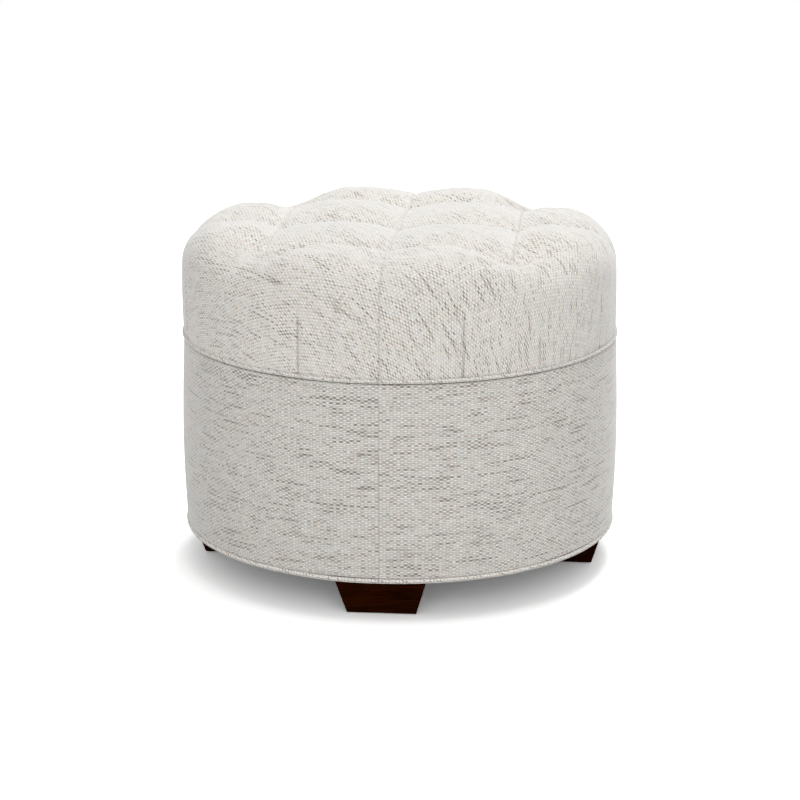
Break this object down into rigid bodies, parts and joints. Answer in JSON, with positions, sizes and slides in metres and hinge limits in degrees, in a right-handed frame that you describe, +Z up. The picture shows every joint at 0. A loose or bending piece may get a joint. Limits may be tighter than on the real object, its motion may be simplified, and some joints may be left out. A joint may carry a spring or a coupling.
{
  "type": "ottoman coffee table",
  "caption": "Round upholstered ottoman coffee table with a tufted cushion top, piped seams and tapered dark block legs.",
  "frame": {"origin": "on the floor under the centre of the drum", "axes": "+Z up, -Y to the front: the side seam and a leg face it, and +X to the right"},
  "size_m": [0.6099, 0.61, 0.4879],
  "materials": {
    "cover_fabric": "matte",
    "piping_fabric": "matte",
    "fibre_wadding": "matte",
    "foam": "matte",
    "twine": "matte",
    "dust_cloth": "matte",
    "board": "matte",
    "fibreboard": "matte",
    "post_timber": "matte",
    "espresso_wood": "satin",
    "felt": "matte",
    "zinc_steel": "satin"
  },
  "bodies": {
    "root": {"top_cover": "cover_fabric", "base_band": "cover_fabric", "waist_piping": "piping_fabric", "bottom_piping": "piping_fabric", "fibre_filling": "fibre_wadding", "side_padding": "fibre_wadding", "seat_foam": "foam", "tuft_twine": "twine", "dust_cover": "dust_cloth", "deck_panel": "board", "base_board": "board", "drum_wrap": "fibreboard", "deck_screws": "zinc_steel", "board_screws": "zinc_steel", "hanger_bolts": "zinc_steel", "tee_nuts": "zinc_steel", "frame_post_1": "post_timber", "frame_post_2": "post_timber", "frame_post_3": "post_timber", "frame_post_4": "post_timber", "frame_post_5": "post_timber", "frame_post_6": "post_timber", "frame_post_7": "post_timber", "frame_post_8": "post_timber", "leg_front": "espresso_wood", "leg_right": "espresso_wood", "leg_back": "espresso_wood", "leg_left": "espresso_wood", "foot_pad_front": "felt", "foot_pad_right": "felt", "foot_pad_back": "felt", "foot_pad_left": "felt"}
  },
  "joints": []
}
